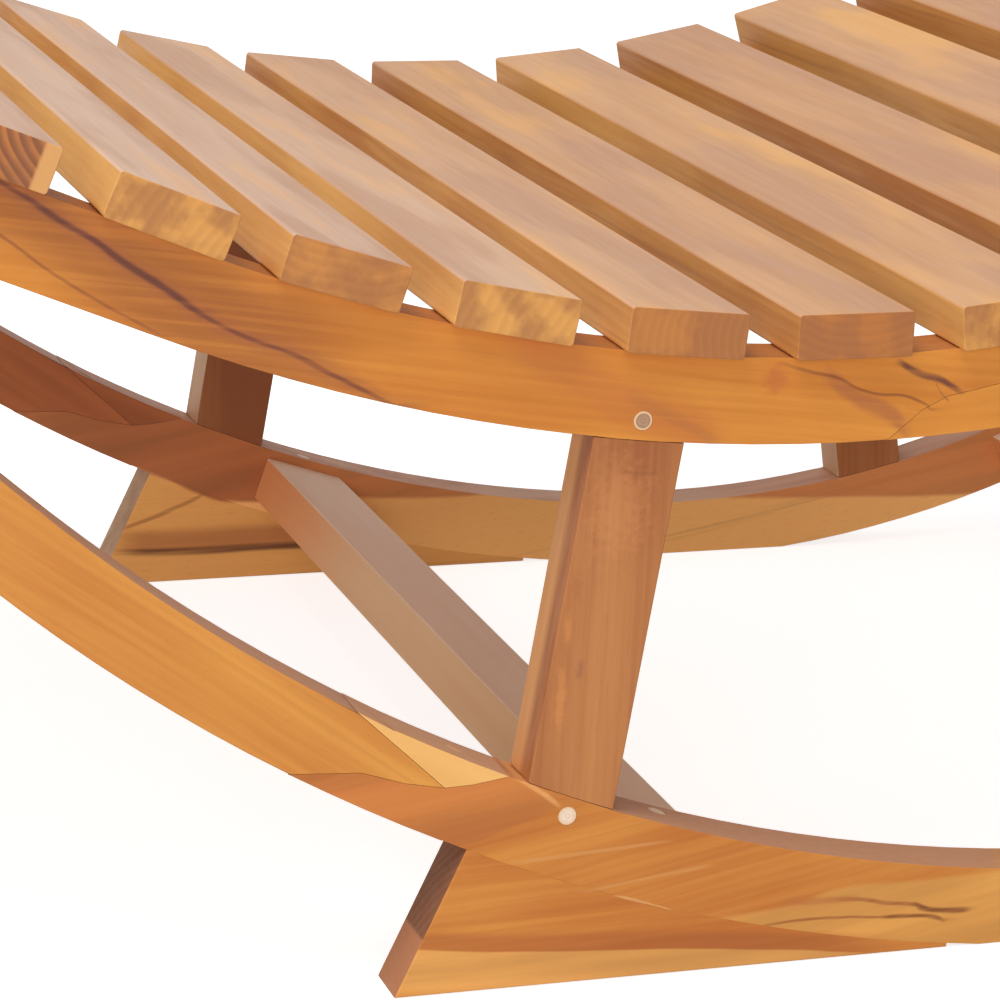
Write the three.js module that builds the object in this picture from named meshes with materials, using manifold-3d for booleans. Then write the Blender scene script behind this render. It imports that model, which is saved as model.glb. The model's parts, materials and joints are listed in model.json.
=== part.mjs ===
// Rocking chaise lounge: a slatted teak bed on two S-shaped side rails, carried by two curved rockers.
// Millimetres, +Z up. The head end is at -X, the foot end at +X, and the width runs along Y.
// It stands at rest on the flat undersides of its rockers and of the wedges behind them.
import * as THREE from 'three';
import { mergeVertices } from 'three/addons/utils/BufferGeometryUtils.js';
import Module from 'manifold-3d';

const wasm = await Module();
wasm.setup();

const degree = Math.PI / 180;

// Fit between pieces
const clearance = 0.3;
const glue_gap = 0.2;
const overrun = 60;
const overlap = 15;

// Slats
const slat_length = 650;
const slat_width = 53;
const slat_thickness = 20;
const slat_chamfer = 1;
const slat_pitch = 77;
const slat_count = 24;
const back_slat_count = 12;
const rail_end_margin = 12;

// Side rails, whose top edge is one smooth line through the lowest point of the seat
const rail_thickness = 26;
const rail_depth = 38;
const slat_overhang = 8;
const seat_height = 276.5;
const seat_radius = 775;
const back_turn = 21.7 * degree;
const back_straight = 60;
const shoulder_radius = 2600;
const shoulder_turn = 4 * degree;
const thigh_turn = 16 * degree;
const thigh_straight = 60;
const knee_radius = 800;
const knee_turn = 28 * degree;

// Scarf joints of the side rails, placed along the rail from the lowest point of the seat
const foot_scarf_start = 20;
const head_scarf_start = 690;
const scarf_length = 190;
const scarf_shares = [[0, 0], [0.08, 0.32], [0.14, 0.45], [0.22, 0.5], [0.62, 0.62], [1, 1]];

// Rockers, whose bottom edge is one smooth line through its lowest point
const rocker_depth = 36.5;
const rocker_ahead = 160;
const rocker_flat_cut = 4.3;
const rocker_toe_radius = 650;
const rocker_toe_turn = 45 * degree;
const rocker_middle_turn = 4.1 * degree;
const rocker_radius = 830;
const rocker_head_turn = 37 * degree;
const rocker_end_run = 700;

// Scarf joint and glued key of each rocker, on the head side of its lowest point
const rocker_scarf_start = 421;
const rocker_scarf_length = 93;
const rocker_scarf_shares = [[0, 0], [0.16, 0.2], [0.31, 0.38], [0.53, 0.47], [0.72, 0.6]];
const rocker_scarf_tip_shares = [[0.72, 0.6], [0.84, 0.75], [1, 1]];
const key_start_share = 0.14;

// Stop wedge under the head side of each rocker
const wedge_reach = 332;
const wedge_lean = 30;
const wedge_tip_height = 2;

// Posts and their tenons
const post_width = 41;
const post_thickness = 26;
const head_post_place = -88.5;
const head_post_lean = 1.8 * degree;
const foot_post_place = 246;
const foot_post_lean = 7 * degree;
const tenon_width = 27;
const tenon_thickness = 10;
const tenon_length = 22;

// Stretchers
const stretcher_width = 46;
const stretcher_thickness = 25;
const stretcher_below_edge = 5;
const head_stretcher_place = -244;
const foot_stretcher_place = 250;
const stub_width = 34;
const stub_thickness = 12;
const stub_length = 15;

// Pins and dowels
const pin_diameter = 8;
const pin_sides = 16;
const post_pin_length = 22;
const post_pin_inset = 8.5;
const stretcher_pin_length = 30;
const end_dowel_length = 40;

// Sampling of curved edges
const edge_step = 20;

// Sizes that follow from the driving ones
const rail_outer = slat_length / 2 - slat_overhang;
const rail_inner = rail_outer - rail_thickness;
const rail_middle = rail_outer - rail_thickness / 2;
const pin_hole_diameter = pin_diameter + 2 * clearance;
const post_middle = rail_outer - post_thickness / 2;
const head_end = slatPlace(0) - slat_width / 2 - rail_end_margin;
const foot_end = slatPlace(slat_count - 1) + slat_width / 2 + rail_end_margin;

// Places along the side rail are measured from the lowest point of the seat, towards the foot end
function slatPlace(index) {
  return (index - back_slat_count) * slat_pitch;
}

// A line is a lowest point with legs that leave it level towards the foot end and the head end.
// A leg is a turn at a radius or a straight run, and the last one carries on past its length.
function walk(legs, distance) {
  let u = 0;
  let z = 0;
  let angle = 0;
  let left = distance;
  legs.forEach((leg, index) => {
    const last = index === legs.length - 1;
    const turn = leg.turn ?? 0;
    const full = leg.turn === undefined ? leg.run : leg.radius * Math.abs(turn);
    const used = last ? left : Math.min(left, full);
    if (leg.turn === undefined) {
      u += used * Math.cos(angle);
      z += used * Math.sin(angle);
    } else {
      const side = Math.sign(turn);
      const after = angle + (side * used) / leg.radius;
      u += side * leg.radius * (Math.sin(after) - Math.sin(angle));
      z += side * leg.radius * (Math.cos(angle) - Math.cos(after));
      angle = after;
    }
    left -= used;
  });
  return { u, z, angle };
}

// Point of a line at a signed distance from its lowest point, moved square to the line by `up`
function linePoint(line, distance, up) {
  const towards_foot = distance >= 0;
  const at = walk(towards_foot ? line.foot_legs : line.head_legs, Math.abs(distance));
  const side = towards_foot ? 1 : -1;
  const angle = side * at.angle;
  return new THREE.Vector2(
    line.x + side * at.u - up * Math.sin(angle),
    line.z + at.z + up * Math.cos(angle),
  );
}

function lineAngle(line, distance) {
  const towards_foot = distance >= 0;
  const at = walk(towards_foot ? line.foot_legs : line.head_legs, Math.abs(distance));
  return towards_foot ? at.angle : -at.angle;
}

// The same points between two distances, one edge of a board
function edge(line, from, to, up) {
  const steps = Math.max(1, Math.ceil(Math.abs(to - from) / edge_step));
  const points = [];
  for (let i = 0; i <= steps; i += 1) {
    points.push(linePoint(line, from + ((to - from) * i) / steps, up));
  }
  return points;
}

// Height of an edge of a line above the floor at a place along X
function heightAt(line, x, up) {
  let low = -line.reach;
  let high = line.reach;
  for (let i = 0; i < 50; i += 1) {
    const middle = (low + high) / 2;
    if (linePoint(line, middle, up).x < x) {
      low = middle;
    } else {
      high = middle;
    }
  }
  return linePoint(line, low, up).y;
}

// Signed distance at which a line has risen to a height above the floor, on one side of its lowest point
function distanceAt(line, height, side) {
  let low = 0;
  let high = line.reach;
  for (let i = 0; i < 50; i += 1) {
    const middle = (low + high) / 2;
    if (linePoint(line, side * middle, 0).y < height) {
      low = middle;
    } else {
      high = middle;
    }
  }
  return side * low;
}

const rail_line = {
  x: 0,
  z: seat_height,
  reach: Math.max(-head_end, foot_end) + rocker_end_run,
  head_legs: [
    { turn: back_turn, radius: seat_radius },
    { run: back_straight },
    { turn: -shoulder_turn, radius: shoulder_radius },
    { run: back_straight },
  ],
  foot_legs: [
    { turn: thigh_turn, radius: seat_radius },
    { run: thigh_straight },
    { turn: -knee_turn, radius: knee_radius },
    { run: thigh_straight },
  ],
};

const rocker_foot_end = rocker_toe_radius * rocker_toe_turn + rocker_end_run;
const rocker_head_end = -rocker_toe_radius * rocker_middle_turn - rocker_radius * rocker_head_turn
  - rocker_end_run;
const rocker_line = {
  x: rocker_ahead,
  z: -rocker_flat_cut,
  reach: Math.max(rocker_foot_end, -rocker_head_end),
  head_legs: [
    { turn: rocker_middle_turn, radius: rocker_toe_radius },
    { turn: rocker_head_turn, radius: rocker_radius },
    { run: rocker_end_run },
  ],
  foot_legs: [{ turn: rocker_toe_turn, radius: rocker_toe_radius }, { run: rocker_end_run }],
};

// Outlines are lists of Vector2 in the X-Z plane

// Points of a joint across a board, from its bottom edge to its top edge
function jointPoints(line, shares, start, length, bottom, depth) {
  return shares.map(([along, up]) => linePoint(line, start + along * length, bottom + up * depth));
}

// A run of points moved square to itself, corners mitred, to leave a glue line beside a joint
function shifted(points, distance) {
  const legs = points.slice(1).map((point, index) => point.clone().sub(points[index]).normalize());
  return points.map((point, index) => {
    const arriving = legs[Math.max(0, index - 1)];
    const leaving = legs[Math.min(legs.length - 1, index)];
    const along = arriving.clone().add(leaving).normalize();
    const across = new THREE.Vector2(-along.y, along.x);
    return point.clone().addScaledVector(across, distance / along.dot(leaving));
  });
}

function reversed(points) {
  return points.slice().reverse();
}

// A board is an outline in the X-Z plane with its thickness along Y
function boardGeometry(outline, y_low, y_high) {
  const shape = new THREE.Shape(outline);
  const geometry = new THREE.ExtrudeGeometry(shape, { depth: y_high - y_low, bevelEnabled: false });
  geometry.rotateX(Math.PI / 2);
  geometry.translate(0, y_high, 0);
  return geometry;
}

function toSolid(geometry) {
  const bare = geometry.clone();
  bare.deleteAttribute('normal');
  bare.deleteAttribute('uv');
  const merged = mergeVertices(bare);
  return new wasm.Manifold(new wasm.Mesh({
    numProp: 3,
    vertProperties: new Float32Array(merged.attributes.position.array),
    triVerts: new Uint32Array(merged.index.array),
  }));
}

function toGeometry(solid) {
  const mesh = solid.getMesh();
  const geometry = new THREE.BufferGeometry();
  geometry.setAttribute('position', new THREE.BufferAttribute(mesh.vertProperties, 3));
  geometry.setIndex(new THREE.BufferAttribute(mesh.triVerts, 1));
  geometry.computeVertexNormals();
  return geometry;
}

function board(outline, y_low, y_high) {
  return toSolid(boardGeometry(outline, y_low, y_high));
}

// A block with its length along a direction in the X-Z plane, from a start point
function blockAlong(start, direction, length, width, y_low, y_high) {
  const across = new THREE.Vector2(-direction.y, direction.x);
  const end = start.clone().addScaledVector(direction, length);
  const outline = [
    start.clone().addScaledVector(across, -width / 2),
    end.clone().addScaledVector(across, -width / 2),
    end.clone().addScaledVector(across, width / 2),
    start.clone().addScaledVector(across, width / 2),
  ];
  const turned = THREE.ShapeUtils.area(outline) < 0 ? reversed(outline) : outline;
  return board(turned, y_low, y_high);
}

// A round pin along Y
function pinAcross(centre, diameter, y_low, y_high) {
  const geometry = new THREE.CylinderGeometry(diameter / 2, diameter / 2, y_high - y_low, pin_sides);
  geometry.translate(centre.x, (y_low + y_high) / 2, centre.y);
  return toSolid(geometry);
}

// A post pin is driven in from the outer face and stops short of the inner one
function postPin(centre) {
  return pinAcross(centre, pin_diameter, rail_outer - post_pin_length, rail_outer);
}

function postPinHole(centre) {
  const y_low = rail_outer - post_pin_length - clearance;
  return pinAcross(centre, pin_hole_diameter, y_low, rail_outer + overrun);
}

// A round pin in the X-Z plane
function pinAlong(start, direction, length, diameter, y) {
  const geometry = new THREE.CylinderGeometry(diameter / 2, diameter / 2, length, pin_sides);
  geometry.rotateX(Math.PI / 2);
  geometry.rotateY(Math.atan2(direction.x, direction.y));
  const middle = start.clone().addScaledVector(direction, length / 2);
  geometry.translate(middle.x, y, middle.y);
  return toSolid(geometry);
}

// Places shared by the pieces that meet there

function upDirection(line, distance) {
  const angle = lineAngle(line, distance);
  return new THREE.Vector2(-Math.sin(angle), Math.cos(angle));
}

// A post leaves the side rail nearly square and comes down on the rocker's top edge
function postAxis(place, lean) {
  const top = linePoint(rail_line, place, -rail_depth);
  const down = upDirection(rail_line, place).negate().rotateAround(new THREE.Vector2(), -lean);
  let length = 0;
  for (let i = 0; i < 30; i += 1) {
    const foot = top.clone().addScaledVector(down, length);
    length += foot.y - heightAt(rocker_line, foot.x, rocker_depth);
  }
  return { top, down, bottom: top.clone().addScaledVector(down, length), length };
}

const post_axes = {
  head: postAxis(head_post_place, head_post_lean),
  foot: postAxis(foot_post_place, foot_post_lean),
};

// Where the middle of a rocker's end meets the underside of the side rail
function endJoint(near, far) {
  let low = near;
  let high = far;
  for (let i = 0; i < 40; i += 1) {
    const middle = (low + high) / 2;
    const point = linePoint(rail_line, middle, -rail_depth);
    if (point.y > heightAt(rocker_line, point.x, rocker_depth / 2)) {
      low = middle;
    } else {
      high = middle;
    }
  }
  const start = linePoint(rail_line, low, -rail_depth - end_dowel_length / 2);
  return { start, direction: upDirection(rail_line, low) };
}

const end_joints = {
  head: endJoint(head_post_place, head_end),
  foot: endJoint(foot_post_place, foot_end),
};

const stretcher_places = { head: head_stretcher_place, foot: foot_stretcher_place };

function pinPlaces(end) {
  const axis = post_axes[end];
  return {
    top: axis.top.clone().addScaledVector(axis.down, -post_pin_inset),
    bottom: axis.bottom.clone().addScaledVector(axis.down, post_pin_inset),
  };
}

function tenon(end, which, slack) {
  const axis = post_axes[end];
  const out = which === 'top' ? axis.down.clone().negate() : axis.down.clone();
  const root = axis[which].clone().addScaledVector(out, -overlap);
  const low = post_middle - tenon_thickness / 2 - slack;
  const high = post_middle + tenon_thickness / 2 + slack;
  const length = overlap + tenon_length + slack;
  return blockAlong(root, out, length, tenon_width + 2 * slack, low, high);
}

function stretcherBlock(end, width, thickness, sink, y_low, y_high) {
  const place = stretcher_places[end];
  const top = linePoint(rocker_line, place, rocker_depth - stretcher_below_edge - sink);
  const down = upDirection(rocker_line, place).negate();
  return blockAlong(top, down, thickness, width, y_low, y_high);
}

function stub(end, slack) {
  const sink = (stretcher_thickness - stub_thickness) / 2 - slack;
  const y_high = rail_inner + stub_length + slack;
  const y_low = rail_inner - stub_length;
  const width = stub_width + 2 * slack;
  return stretcherBlock(end, width, stub_thickness + 2 * slack, sink, y_low, y_high);
}

function stretcherPin(end, diameter, extra) {
  const place = stretcher_places[end];
  const start = linePoint(rocker_line, place, rocker_depth - stretcher_pin_length);
  const direction = upDirection(rocker_line, place);
  const y = rail_inner + stub_length / 2;
  const length = stretcher_pin_length + extra;
  return pinAlong(start, direction, length, diameter, y);
}

function endDowel(end, diameter, slack) {
  const joint = end_joints[end];
  const start = joint.start.clone().addScaledVector(joint.direction, -slack);
  return pinAlong(start, joint.direction, end_dowel_length + 2 * slack, diameter, rail_middle);
}

// Everything above the underside of the side rail, less the clearance, to trim what comes up to it
function aboveRail() {
  const under = edge(rail_line, -rail_line.reach, rail_line.reach, -rail_depth - clearance);
  const roof = seat_height + rail_line.reach;
  const last = under[under.length - 1];
  const outline = [...under, new THREE.Vector2(last.x, roof), new THREE.Vector2(under[0].x, roof)];
  return board(outline, rail_inner - overrun, rail_outer + overrun);
}

// Everything below the rocker's top edge, plus the clearance, to trim what comes down to it
function belowRocker() {
  const over = edge(rocker_line, rocker_head_end, rocker_foot_end, rocker_depth + clearance);
  const floor = -rocker_depth;
  const last = over[over.length - 1];
  const outline = [new THREE.Vector2(over[0].x, floor), new THREE.Vector2(last.x, floor), ...reversed(over)];
  return board(outline, rail_inner - overrun, rail_outer + overrun);
}

// Side rail, in three lengths scarfed together
function sideRailPieces() {
  const gap = glue_gap / 2;
  const cut = (start) => jointPoints(rail_line, scarf_shares, start, scarf_length, -rail_depth, rail_depth);
  const foot_cut = cut(foot_scarf_start);
  const head_cut = cut(-head_scarf_start);
  const top = (from, to) => edge(rail_line, from, to, 0);
  const under = (from, to) => edge(rail_line, from, to, -rail_depth);
  const head_top = -head_scarf_start + scarf_length;
  const foot_top = foot_scarf_start + scarf_length;
  const inside = (points) => points.slice(1, -1);
  const head = [
    ...under(head_end, -head_scarf_start).slice(0, -1),
    ...shifted(head_cut, gap),
    ...top(head_top, head_end).slice(1),
  ];
  const seat = [
    ...shifted(head_cut, -gap).slice(0, 1),
    ...inside(under(-head_scarf_start, foot_scarf_start)),
    ...shifted(foot_cut, gap),
    ...inside(top(foot_top, head_top)),
    ...reversed(shifted(head_cut, -gap).slice(1)),
  ];
  const foot = [
    ...shifted(foot_cut, -gap).slice(0, 1),
    ...under(foot_scarf_start, foot_end).slice(1),
    ...top(foot_end, foot_top).slice(0, -1),
    ...reversed(shifted(foot_cut, -gap).slice(1)),
  ];
  return { head, seat, foot };
}

function sideRailSolids() {
  const outlines = sideRailPieces();
  const solids = {};
  Object.entries(outlines).forEach(([name, outline]) => {
    let solid = board(outline, rail_inner, rail_outer);
    ['head', 'foot'].forEach((end) => {
      solid = solid.subtract(tenon(end, 'top', clearance));
      solid = solid.subtract(postPinHole(pinPlaces(end).top));
      solid = solid.subtract(endDowel(end, pin_hole_diameter, clearance));
    });
    solids[name] = solid;
  });
  return solids;
}

// Rocker, in a head length, a foot length and the small key glued into the joint between them
function rockerPieces() {
  const gap = glue_gap / 2;
  const joint = (shares) => jointPoints(rocker_line, shares, -rocker_scarf_start, rocker_scarf_length, 0,
    rocker_depth);
  const seam = joint(rocker_scarf_shares);
  const tip = joint(rocker_scarf_tip_shares);
  const key_start = -rocker_scarf_start + key_start_share * rocker_scarf_length;
  const key_top = linePoint(rocker_line, key_start, rocker_depth);
  const scarf_top = -rocker_scarf_start + rocker_scarf_length;
  const bottom = (from, to) => edge(rocker_line, from, to, 0);
  const top = (from, to) => edge(rocker_line, from, to, rocker_depth);
  const whole_seam = [...seam, ...tip.slice(1)];
  const head = [
    ...bottom(rocker_head_end, -rocker_scarf_start).slice(0, -1),
    ...shifted([...seam, key_top], gap),
    ...top(key_start, rocker_head_end).slice(1),
  ];
  const key = [
    ...shifted([key_top, ...tip], gap),
    ...top(scarf_top, key_start).slice(1, -1),
  ];
  const lower_seam = shifted(whole_seam, -gap);
  const foot = [
    lower_seam[0],
    ...bottom(-rocker_scarf_start, distanceAt(rocker_line, 0, -1)).slice(1),
    ...bottom(distanceAt(rocker_line, 0, 1), rocker_foot_end),
    ...top(rocker_foot_end, scarf_top).slice(0, -1),
    ...reversed(lower_seam.slice(1)),
  ];
  return { head, key, foot };
}

function rockerSolids() {
  const outlines = rockerPieces();
  const roof = aboveRail();
  const solids = {};
  Object.entries(outlines).forEach(([name, outline]) => {
    let solid = board(outline, rail_inner, rail_outer).subtract(roof);
    ['head', 'foot'].forEach((end) => {
      solid = solid.subtract(tenon(end, 'bottom', clearance));
      solid = solid.subtract(postPinHole(pinPlaces(end).bottom));
      solid = solid.subtract(endDowel(end, pin_hole_diameter, clearance));
      solid = solid.subtract(stub(end, clearance));
      solid = solid.subtract(stretcherPin(end, pin_hole_diameter, overrun));
    });
    solids[name] = solid;
  });
  return solids;
}

// Stop wedge: flat below, curved above to the rocker's bottom edge
function wedgeSolid() {
  const tip = distanceAt(rocker_line, wedge_tip_height, -1);
  const seam = edge(rocker_line, -wedge_reach, tip, -clearance);
  const toe = new THREE.Vector2(seam[0].x - wedge_lean, 0);
  const heel = new THREE.Vector2(seam[seam.length - 1].x, 0);
  return board([toe, heel, ...reversed(seam)], rail_inner, rail_outer);
}

function postSolid(end) {
  const axis = post_axes[end];
  const start = axis.top.clone().addScaledVector(axis.down, -overlap);
  const length = axis.length + 2 * overlap;
  const y_low = rail_outer - post_thickness;
  const body = blockAlong(start, axis.down, length, post_width, y_low, rail_outer);
  const trimmed = body.subtract(aboveRail()).subtract(belowRocker());
  const places = pinPlaces(end);
  let solid = trimmed.add(tenon(end, 'top', 0)).add(tenon(end, 'bottom', 0));
  [places.top, places.bottom].forEach((place) => {
    solid = solid.subtract(postPinHole(place));
  });
  return solid;
}

function mirrored(solid) {
  return solid.mirror([0, 1, 0]);
}

function stretcherSolid(end) {
  const reach = rail_inner - clearance;
  const body = stretcherBlock(end, stretcher_width, stretcher_thickness, 0, -reach, reach);
  const end_stub = stub(end, 0).subtract(stretcherPin(end, pin_hole_diameter, overrun));
  return body.add(end_stub).add(mirrored(end_stub));
}

function slatGeometry() {
  const half = slat_width / 2;
  const c = slat_chamfer;
  const outline = [
    new THREE.Vector2(-half + c, 0),
    new THREE.Vector2(half - c, 0),
    new THREE.Vector2(half, c),
    new THREE.Vector2(half, slat_thickness - c),
    new THREE.Vector2(half - c, slat_thickness),
    new THREE.Vector2(-half + c, slat_thickness),
    new THREE.Vector2(-half, slat_thickness - c),
    new THREE.Vector2(-half, c),
  ];
  return boardGeometry(outline, -slat_length / 2, slat_length / 2);
}

// How far a flat slat has to stand off a hollow stretch of the rail
function slatLift(place) {
  const middle = linePoint(rail_line, place, 0);
  const up = upDirection(rail_line, place);
  const rises = [-1, -0.5, 0, 0.5, 1].map((share) => {
    const point = linePoint(rail_line, place + (share * slat_width) / 2, 0);
    return point.sub(middle).dot(up);
  });
  return Math.max(...rises) + clearance;
}

// The tones of the timber, piece by piece
const tones = {
  slat: 0xcf9a63,
  rail: 0xc8843f,
  rocker: 0xc98a45,
  key: 0xdcae6c,
  wedge: 0xb9793d,
  post: 0xb06f3f,
  stretcher: 0xa56c40,
  pin: 0xd9b384,
};

function timber(tone) {
  return new THREE.MeshStandardMaterial({ color: tones[tone], roughness: 0.62, metalness: 0 });
}

const lounge = new THREE.Group();

function place(name, geometry, tone, parent = lounge) {
  const mesh = new THREE.Mesh(geometry, timber(tone));
  mesh.name = name;
  parent.add(mesh);
  return mesh;
}

// A solid made for the left side, +Y, and its mirror image on the right side
function placePair(name, solid, tone) {
  place(`left_${name}`, toGeometry(solid), tone);
  place(`right_${name}`, toGeometry(mirrored(solid)), tone);
}

function addSlats() {
  for (let i = 0; i < slat_count; i += 1) {
    const distance = slatPlace(i);
    const seat = linePoint(rail_line, distance, slatLift(distance));
    const holder = new THREE.Group();
    holder.position.set(seat.x, 0, seat.y);
    holder.rotation.y = -lineAngle(rail_line, distance);
    lounge.add(holder);
    place(`slat_${String(i + 1).padStart(2, '0')}`, slatGeometry(), 'slat', holder);
  }
}

function addSides() {
  Object.entries(sideRailSolids()).forEach(([name, solid]) => placePair(`${name}_rail`, solid, 'rail'));
  Object.entries(rockerSolids()).forEach(([name, solid]) => {
    placePair(`rocker_${name}`, solid, name === 'key' ? 'key' : 'rocker');
  });
  placePair('stop_wedge', wedgeSolid(), 'wedge');
}

function addEnds() {
  ['head', 'foot'].forEach((end) => {
    const places = pinPlaces(end);
    placePair(`${end}_post`, postSolid(end), 'post');
    ['top', 'bottom'].forEach((which) => {
      placePair(`${end}_post_${which}_pin`, postPin(places[which]), 'pin');
    });
    placePair(`${end}_end_dowel`, endDowel(end, pin_diameter, 0), 'pin');
    placePair(`${end}_stretcher_pin`, stretcherPin(end, pin_diameter, 0), 'pin');
    place(`${end}_stretcher`, toGeometry(stretcherSolid(end)), 'stretcher');
  });
}

addSlats();
addSides();
addEnds();

// The origin stands on the floor under the middle of the overall length
const rail_tips = [head_end, foot_end].flatMap((distance) => (
  [0, -rail_depth].map((up) => linePoint(rail_line, distance, up).x)));
lounge.position.x = -(Math.min(...rail_tips) + Math.max(...rail_tips)) / 2;

export default lounge;
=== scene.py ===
# Rocking chaise lounge in teak: boards with eased edges and solid grain, seen from the photograph's side.
# Metres, +Z up. The head end is at -X, the foot end at +X, and the side towards the camera is -Y.
import json
import math

import bmesh
import bpy
from mathutils import Matrix, Vector
from mathutils.bvhtree import BVHTree


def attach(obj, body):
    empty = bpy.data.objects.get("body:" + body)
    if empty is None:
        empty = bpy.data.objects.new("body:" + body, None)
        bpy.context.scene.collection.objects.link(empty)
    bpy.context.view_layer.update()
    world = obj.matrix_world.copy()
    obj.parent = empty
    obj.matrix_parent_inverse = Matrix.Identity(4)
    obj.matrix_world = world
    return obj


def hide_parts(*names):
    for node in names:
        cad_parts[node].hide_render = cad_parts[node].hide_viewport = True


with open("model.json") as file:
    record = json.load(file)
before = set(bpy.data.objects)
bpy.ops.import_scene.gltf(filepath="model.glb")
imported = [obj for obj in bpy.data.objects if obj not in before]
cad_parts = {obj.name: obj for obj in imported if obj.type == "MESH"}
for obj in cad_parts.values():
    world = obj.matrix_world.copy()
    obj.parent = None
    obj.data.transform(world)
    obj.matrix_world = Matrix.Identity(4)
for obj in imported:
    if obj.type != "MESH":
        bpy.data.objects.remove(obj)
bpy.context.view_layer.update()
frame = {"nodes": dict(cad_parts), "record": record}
nodes = frame["nodes"]

MM = 0.001
IMAGE_SIZE = 1000

# Camera, fitted to the photograph
CAMERA_PLACE = Vector((-0.59856, -1.73266, 0.6443))
CAMERA_YAW = math.radians(18.566)
CAMERA_PITCH = math.radians(15.831)
CAMERA_ROLL = math.radians(-2.29)
FOCAL_PIXELS = 3728.3
SENSOR_WIDTH = 36

# Edges of the boards
EASED_EDGE = 0.9 * MM
SLAT_EASED_EDGE = 0.55 * MM
EASED_STEPS = 2
ROUND_PROFILE = 0.5
SHORTEST_EASED = 4 * MM
SHARP_ANGLE = math.radians(28)
CREASE_ANGLE = math.radians(50)
FLAT_ANGLE = math.radians(0.4)
WELD_REACH = 0.01 * MM
JOINT_REACH = 0.6 * MM
END_PROBE = 0.1

# Pins fill the clearance of their holes
PIN_SIDES = 32
PIN_FIT = 0.25 * MM
PIN_EASE = 0.4 * MM

# How squarely a face looks along the grain, up, or towards the head end, to count as that kind of face
END_GRAIN_AIM = 0.8
TOP_AIM = 0.6
SLAT_TOP_AIM = 0.3
HEAD_AIM = 0.7

# Direction of the wedges' grain
WEDGE_GRAIN = Vector((1, 0, 0.02))

# Growth rings: their width, the shares of it over which one darkens and clears again, and the place of
# their middle beside a board's own
RING_WIDTH = 4.4 * MM
RING_RISE = (0.0, 0.7)
RING_FALL = (0.8, 1.0)
PITH = (0.0, 0.02, 0.055)

# Salts that keep a board's own tone and the turn of its rings apart from the draws below
TONE_SALT = 5
TURN_SALT = 6

# How far the grain's pattern moves from board to board: salt, middle and reach, along and then across it
GRAIN_SHIFTS = ((1, 0.0, 4.0), (2, 0.5, 0.06), (3, 0.5, 0.05))

# Lumps in a metre along the grain and across it, and the detail of the noise
FIBRES = (12.0, 380.0, 3.0)
STREAKS = (3.5, 55.0, 3.0)
VEINS = (2.0, 170.0, 2.0)
PORES = (130.0, 1500.0, 1.0)
CLOUDS = (6.0, 17.0, 2.0)
SLAT_CLOUDS = (4.2, 24.0, 3.0)
SWAY_LUMPS = (2.2, 14.0, 14.0)
SWAY_REACH = 0.02

# Ranges of a noise over which what it brings comes in
MIDDLE_RANGE = (0.3, 0.7)
VEIN_RANGE = (0.6, 0.76)
PORE_RANGE = (0.62, 0.72)
GLOSS_RANGE = (0.3, 0.75)

# How much of a darker tone each part of the grain brings
CLOUD_SHARE = 0.42
STREAK_SHARE = 0.36
FIBRE_SHARE = 0.16
RING_SHARE = 0.06
VEIN_SHARE = 0.3
PORE_SHARE = 0.18
TONE_SPREAD = 0.7

# How much of its end tone a board's end shows, and how much more its rings show
END_SHARE = 0.4
END_RING_SHARE = 0.45

# Polish and relief, of the boards and of the pins
SPECULAR_LEVEL = 0.3
ROUGHNESS = (0.52, 0.66)
PIN_ROUGHNESS = (0.5, 0.65)
RELIEF_DEPTH = 0.3 * MM
RELIEF_STRENGTH = 0.2
PIN_RELIEF_STRENGTH = 0.3

# How dark each board is within its wood, where the photograph shows it: from 0 to 1, with sapwood below 0
# and heartwood above 1
# On the far side these tones also hold painted light and shade: the far foot and wedge are painted lighter
# against the slats' shade over them, and the far head, key and post are darker partly as painted shade.
BOARD_TONES = {
    "slat_08": 1.3,
    "slat_09": 0.2,
    "slat_10": 0.6,
    "slat_11": 0.05,
    "slat_12": 0.75,
    "slat_13": 0.95,
    "slat_14": 0.3,
    "slat_15": 1.0,
    "slat_16": 0.1,
    "right_seat_rail": 0.45,
    "right_foot_rail": 0.2,
    "right_rocker_head": 0.25,
    "right_rocker_foot": 0.65,
    "right_rocker_key": 0.2,
    "right_stop_wedge": 0.8,
    "right_head_post": 0.65,
    "head_stretcher": 0.5,
    "left_seat_rail": 0.55,
    "left_rocker_head": 1.2,
    "left_rocker_key": 1.15,
    "left_rocker_foot": -1.0,
    "left_stop_wedge": -0.5,
    "left_head_post": 1.35,
    "left_foot_post": 0.9,
}

# How the growth rings stand on a slat's end, in degrees: at 0 they lie level under the slat's middle
RING_TURNS = {
    "slat_08": 90,
    "slat_09": 35,
    "slat_10": 150,
    "slat_11": 60,
    "slat_12": 100,
    "slat_13": 170,
}


def is_slat(name):
    return name.startswith("slat_")


def is_crossing(name):
    return is_slat(name) or name.endswith("_stretcher")


def is_pin(name):
    return name.endswith("_pin") or name.endswith("_dowel")


def seeded(name, salt):
    """A steady number from 0 to 1 for a piece's name."""
    total = salt * 7919
    for index, letter in enumerate(name):
        total += ord(letter) * (index + 3) * (31 + salt)
    return math.modf(math.sin(total * 12.9898) * 43758.5453)[0] % 1.0


# Boards: each CAD board is redrawn with eased edges, except along its glued joints


def mesh_from(name):
    mesh = bmesh.new()
    mesh.from_mesh(nodes[name].data)
    bmesh.ops.remove_doubles(mesh, verts=mesh.verts, dist=WELD_REACH)
    bmesh.ops.dissolve_limit(mesh, angle_limit=FLAT_ANGLE, verts=mesh.verts, edges=mesh.edges)
    return mesh


def side_tree(skip):
    """Surfaces of the boards under the slats, all but one, to find that one's joints."""
    points = []
    faces = []
    for name, node in nodes.items():
        if is_slat(name) or is_pin(name) or name == skip:
            continue
        start = len(points)
        points += [vertex.co.copy() for vertex in node.data.vertices]
        faces += [[start + index for index in face.vertices] for face in node.data.polygons]
    return BVHTree.FromPolygons(points, faces)


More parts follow.
